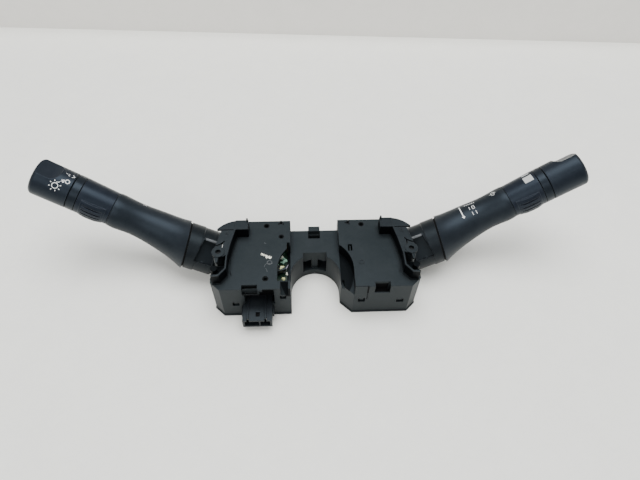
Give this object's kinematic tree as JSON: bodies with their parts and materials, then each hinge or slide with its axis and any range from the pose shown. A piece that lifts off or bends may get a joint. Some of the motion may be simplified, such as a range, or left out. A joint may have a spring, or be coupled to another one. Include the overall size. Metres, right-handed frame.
{
  "type": "combination stalk switch",
  "caption": "Steering-column switch: saddle housing over the column with a lamp stalk and a wiper stalk, each with a twist ring and an end knob.",
  "frame": {"origin": "on the steering-column axis, level with the underside of the base covers", "axes": "+Z along the column towards the driver, +X towards the wiper stalk, +Y up in the vehicle, away from the connector"},
  "size_m": [0.409, 0.0997, 0.09],
  "materials": {
    "case": "black moulded nylon, fine spark-eroded grain",
    "cover": "black moulded nylon, slightly lighter",
    "canopy": "black acetal, satin",
    "carrier": "black glass-filled nylon",
    "neck": "black nylon, satin",
    "stem": "black ABS, fine leather grain",
    "ring": "black ABS, satin, ribbed",
    "collar": "black ABS, semi-gloss",
    "knob": "black ABS, fine grain",
    "core": "dark grey glass-filled nylon",
    "shaft": "natural acetal",
    "slider": "natural acetal",
    "contact": "stamped spring brass",
    "board": "green solder mask over glass laminate",
    "ribbon": "amber polyimide film",
    "steel": "bright steel pin",
    "zinc": "zinc-plated screw",
    "spring": "spring wire",
    "pin": "tinned contact pin",
    "shroud": "black moulded polyester",
    "pawl": "natural acetal"
  },
  "bodies": {
    "housing": {"main_case": "case", "base_cover_left": "cover", "base_cover_right": "cover", "bridge_cover": "cover", "cover_screws": "zinc", "board_left": "board", "board_right": "board", "link_strip": "ribbon", "connector_shroud": "shroud", "connector_pins": "pin", "detent_track_left": "slider", "detent_track_right": "slider", "pivot_cover_left": "canopy", "pivot_cover_right": "canopy", "pivot_pin_left": "steel", "pivot_pin_right": "steel"},
    "left_carrier": {"carrier_left": "carrier", "neck_left": "neck", "pitch_pin_left": "steel", "detent_spring_left": "spring"},
    "left_stalk": {"lever_core_left": "core", "stem_left": "stem", "collar_left": "collar", "knob_board_left": "board"},
    "left_ring": {"twist_ring_left": "ring"},
    "left_knob": {"end_knob_left": "knob", "knob_shaft_left": "shaft", "knob_wiper_left": "contact"},
    "left_slider": {"contact_slider_left": "slider", "slider_contacts_left": "contact"},
    "left_plunger": {"detent_plunger_left": "steel"},
    "right_carrier": {"carrier_right": "carrier", "neck_right": "neck", "pitch_pin_right": "steel", "detent_spring_right": "spring"},
    "right_stalk": {"lever_core_right": "core", "stem_right": "stem", "collar_right": "collar", "knob_board_right": "board"},
    "right_ring": {"twist_ring_right": "ring"},
    "right_knob": {"end_knob_right": "knob", "knob_shaft_right": "shaft", "knob_wiper_right": "contact"},
    "right_slider": {"contact_slider_right": "slider", "slider_contacts_right": "contact"},
    "right_plunger": {"detent_plunger_right": "steel"},
    "pawl": {"cancel_pawl": "pawl"}
  },
  "joints": [
    {"name": "left_turn", "type": "hinge", "parent": "housing", "child": "left_carrier", "pos_m": [-0.0703, 0.0091, 0], "axis": [0, 0, 1], "range_deg": [-10, 10]},
    {"name": "left_pitch", "type": "hinge", "parent": "left_carrier", "child": "left_stalk", "pos_m": [-0.08488, 0.02806, 0.02188], "axis": [0.1478, 0.989, 0], "range_deg": [-5, 5], "stiffness_Nm_per_rad": 8},
    {"name": "left_ring_twist", "type": "hinge", "parent": "left_stalk", "child": "left_ring", "pos_m": [-0.16035, 0.04846, 0.05728], "axis": [-0.855, 0.158, 0.494], "range_deg": [0, 40]},
    {"name": "left_knob_twist", "type": "hinge", "parent": "left_stalk", "child": "left_knob", "pos_m": [-0.18172, 0.05241, 0.06963], "axis": [-0.855, 0.158, 0.494], "range_deg": [0, 66]},
    {"name": "left_slider_move", "type": "slide", "parent": "housing", "child": "left_slider", "axis": [0, 1, 0], "range_m": [-0.0048, 0.0048]},
    {"name": "left_plunger_press", "type": "slide", "parent": "left_carrier", "child": "left_plunger", "axis": [-1, 0, 0], "range_m": [0, 0.0015], "stiffness_N_per_m": 500, "springref_m": -0.004, "deforming": ["detent_spring_left"]},
    {"name": "right_turn", "type": "hinge", "parent": "housing", "child": "right_carrier", "pos_m": [0.0703, 0.0091, 0], "axis": [0, 0, 1], "range_deg": [-18, 6]},
    {"name": "right_pitch", "type": "hinge", "parent": "right_carrier", "child": "right_stalk", "pos_m": [0.08488, 0.02806, 0.02188], "axis": [-0.1478, 0.989, 0], "range_deg": [-5, 5], "stiffness_Nm_per_rad": 8},
    {"name": "right_ring_twist", "type": "hinge", "parent": "right_stalk", "child": "right_ring", "pos_m": [0.16035, 0.04846, 0.05728], "axis": [0.855, 0.158, 0.494], "range_deg": [0, 60]},
    {"name": "right_knob_twist", "type": "hinge", "parent": "right_stalk", "child": "right_knob", "pos_m": [0.18172, 0.05241, 0.06963], "axis": [0.855, 0.158, 0.494], "range_deg": [0, 50]},
    {"name": "right_slider_move", "type": "slide", "parent": "housing", "child": "right_slider", "axis": [0, 1, 0], "range_m": [-0.0026, 0.0078]},
    {"name": "right_plunger_press", "type": "slide", "parent": "right_carrier", "child": "right_plunger", "axis": [1, 0, 0], "range_m": [0, 0.0015], "stiffness_N_per_m": 500, "springref_m": -0.004, "deforming": ["detent_spring_right"]},
    {"name": "pawl_swing", "type": "hinge", "parent": "housing", "child": "pawl", "pos_m": [-0.0331, 0.0055, 0.025], "axis": [0, 0, 1], "range_deg": [-12, 12], "stiffness_Nm_per_rad": 0.02}
  ],
  "couplings": [
    {"joint": "left_slider_move", "follows": "left_turn", "m_per_rad": 0.024},
    {"joint": "right_slider_move", "follows": "right_turn", "m_per_rad": -0.024}
  ]
}
